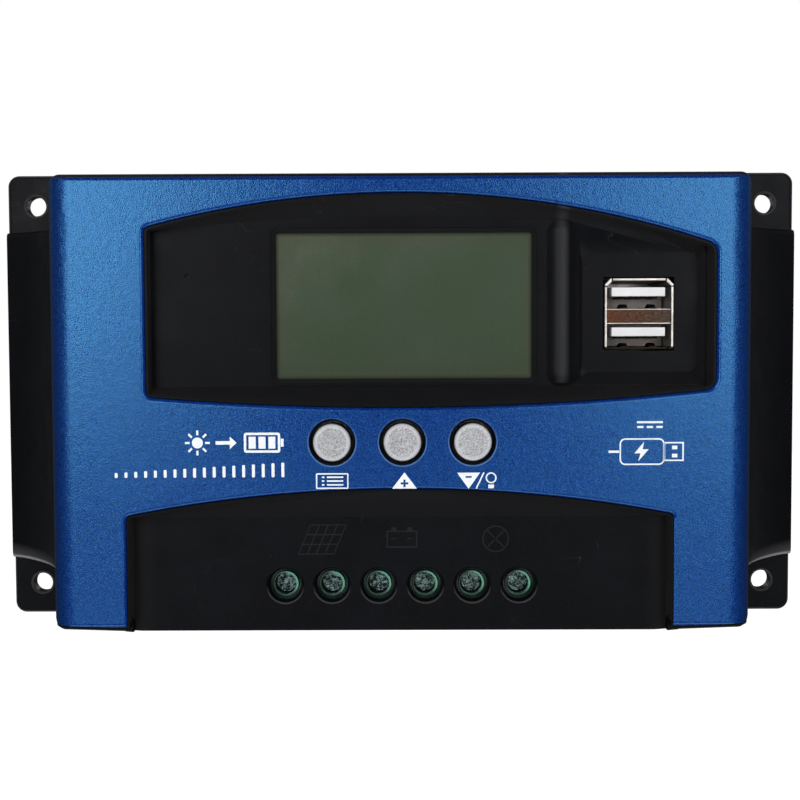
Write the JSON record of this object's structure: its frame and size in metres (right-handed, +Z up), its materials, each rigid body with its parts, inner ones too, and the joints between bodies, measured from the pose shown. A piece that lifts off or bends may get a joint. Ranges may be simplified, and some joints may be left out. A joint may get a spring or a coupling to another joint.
{
  "type": "charge controller",
  "caption": "Wall-mounted solar charge controller with a display, push buttons, stacked USB ports and a row of screw terminals.",
  "frame": {"origin": "centre of the four wall holes, on the plane of the wall", "axes": "+X to the right as seen from the front, +Y into the wall (the front faces -Y), +Z up"},
  "size_m": [0.188, 0.0465, 0.1054],
  "materials": {
    "case_plastic": "fine satin texture",
    "cover_paint": "metallic blue, satin",
    "aluminium_sink": "extruded, satin",
    "zinc_screw": "zinc plated",
    "display_glass": "grey-green, semi-gloss",
    "white_plastic": "satin",
    "black_plastic": "satin",
    "contact_rubber": "matt",
    "board": "solder mask",
    "gold_contact": "gold plated",
    "nickel": "nickel plated",
    "brass_post": "turned",
    "terminal_green": "satin",
    "copper_bar": "tinned copper",
    "can_sleeve": "shrink sleeve",
    "ferrite": "coated powder core",
    "copper_wire": "enamelled",
    "fuse_plastic": "translucent",
    "button_silver": "silver metallic satin",
    "clamp_steel": "zinc plated"
  },
  "bodies": {
    "root": {"case_shell": "case_plastic", "front_cover": "cover_paint", "rear_cover": "case_plastic", "heat_sink": "aluminium_sink", "case_screws": "zinc_screw", "heat_sink_screws": "zinc_screw", "lcd_glass": "display_glass", "lcd_backlight": "white_plastic", "lcd_frame": "black_plastic", "lcd_connector": "contact_rubber", "display_board": "board", "display_screws": "zinc_screw", "control_chip": "black_plastic", "header_pins": "gold_contact", "header_housing": "black_plastic", "switch_bodies": "black_plastic", "usb_shell": "nickel", "usb_tongues": "white_plastic", "usb_contacts": "gold_contact", "usb_board": "board", "usb_posts": "brass_post", "converter_coil": "black_plastic", "power_board": "board", "thread_inserts": "brass_post", "board_screws": "zinc_screw", "terminal_block": "terminal_green", "terminal_sleeves": "terminal_green", "terminal_bars": "copper_bar", "capacitor_cans": "can_sleeve", "choke_core": "ferrite", "choke_winding": "copper_wire", "fuse_blades": "fuse_plastic", "fuse_holders": "black_plastic", "current_shunt": "copper_bar", "mosfet_bodies": "black_plastic", "mosfet_tabs": "nickel", "thermal_pad": "contact_rubber", "mosfet_screws": "zinc_screw", "driver_chips": "black_plastic"},
    "button_left": {"button_cap_left": "button_silver", "switch_plunger_left": "black_plastic"},
    "button_middle": {"button_cap_middle": "button_silver", "switch_plunger_middle": "black_plastic"},
    "button_right": {"button_cap_right": "button_silver", "switch_plunger_right": "black_plastic"},
    "screw_1": {"terminal_screw_1": "zinc_screw"},
    "clamp_1": {"terminal_clamp_1": "clamp_steel"},
    "screw_2": {"terminal_screw_2": "zinc_screw"},
    "clamp_2": {"terminal_clamp_2": "clamp_steel"},
    "screw_3": {"terminal_screw_3": "zinc_screw"},
    "clamp_3": {"terminal_clamp_3": "clamp_steel"},
    "screw_4": {"terminal_screw_4": "zinc_screw"},
    "clamp_4": {"terminal_clamp_4": "clamp_steel"},
    "screw_5": {"terminal_screw_5": "zinc_screw"},
    "clamp_5": {"terminal_clamp_5": "clamp_steel"},
    "screw_6": {"terminal_screw_6": "zinc_screw"},
    "clamp_6": {"terminal_clamp_6": "clamp_steel"}
  },
  "joints": [
    {"name": "button_left_press", "type": "slide", "parent": "root", "child": "button_left", "axis": [0, 1, 0], "range_m": [0, 0.00035], "stiffness_N_per_m": 1500, "springref_m": -0.0007},
    {"name": "button_middle_press", "type": "slide", "parent": "root", "child": "button_middle", "axis": [0, 1, 0], "range_m": [0, 0.00035], "stiffness_N_per_m": 1500, "springref_m": -0.0007},
    {"name": "button_right_press", "type": "slide", "parent": "root", "child": "button_right", "axis": [0, 1, 0], "range_m": [0, 0.00035], "stiffness_N_per_m": 1500, "springref_m": -0.0007},
    {"name": "screw_1_turn", "type": "hinge", "parent": "root", "child": "screw_1", "pos_m": [-0.0249, -0.033, -0.0392], "axis": [0, 1, 0], "range_deg": [0, 2161]},
    {"name": "clamp_1_lift", "type": "slide", "parent": "root", "child": "clamp_1", "axis": [0, -1, 0], "range_m": [0, 0.0042]},
    {"name": "screw_2_turn", "type": "hinge", "parent": "root", "child": "screw_2", "pos_m": [-0.0149, -0.033, -0.0392], "axis": [0, 1, 0], "range_deg": [0, 2161]},
    {"name": "clamp_2_lift", "type": "slide", "parent": "root", "child": "clamp_2", "axis": [0, -1, 0], "range_m": [0, 0.0042]},
    {"name": "screw_3_turn", "type": "hinge", "parent": "root", "child": "screw_3", "pos_m": [-0.0049, -0.033, -0.0392], "axis": [0, 1, 0], "range_deg": [0, 2161]},
    {"name": "clamp_3_lift", "type": "slide", "parent": "root", "child": "clamp_3", "axis": [0, -1, 0], "range_m": [0, 0.0042]},
    {"name": "screw_4_turn", "type": "hinge", "parent": "root", "child": "screw_4", "pos_m": [0.0051, -0.033, -0.0392], "axis": [0, 1, 0], "range_deg": [0, 2161]},
    {"name": "clamp_4_lift", "type": "slide", "parent": "root", "child": "clamp_4", "axis": [0, -1, 0], "range_m": [0, 0.0042]},
    {"name": "screw_5_turn", "type": "hinge", "parent": "root", "child": "screw_5", "pos_m": [0.0151, -0.033, -0.0392], "axis": [0, 1, 0], "range_deg": [0, 2161]},
    {"name": "clamp_5_lift", "type": "slide", "parent": "root", "child": "clamp_5", "axis": [0, -1, 0], "range_m": [0, 0.0042]},
    {"name": "screw_6_turn", "type": "hinge", "parent": "root", "child": "screw_6", "pos_m": [0.0251, -0.033, -0.0392], "axis": [0, 1, 0], "range_deg": [0, 2161]},
    {"name": "clamp_6_lift", "type": "slide", "parent": "root", "child": "clamp_6", "axis": [0, -1, 0], "range_m": [0, 0.0042]}
  ],
  "couplings": [
    {"joint": "screw_1_turn", "follows": "clamp_1_lift", "rad_per_m": 8976},
    {"joint": "screw_2_turn", "follows": "clamp_2_lift", "rad_per_m": 8976},
    {"joint": "screw_3_turn", "follows": "clamp_3_lift", "rad_per_m": 8976},
    {"joint": "screw_4_turn", "follows": "clamp_4_lift", "rad_per_m": 8976},
    {"joint": "screw_5_turn", "follows": "clamp_5_lift", "rad_per_m": 8976},
    {"joint": "screw_6_turn", "follows": "clamp_6_lift", "rad_per_m": 8976}
  ]
}
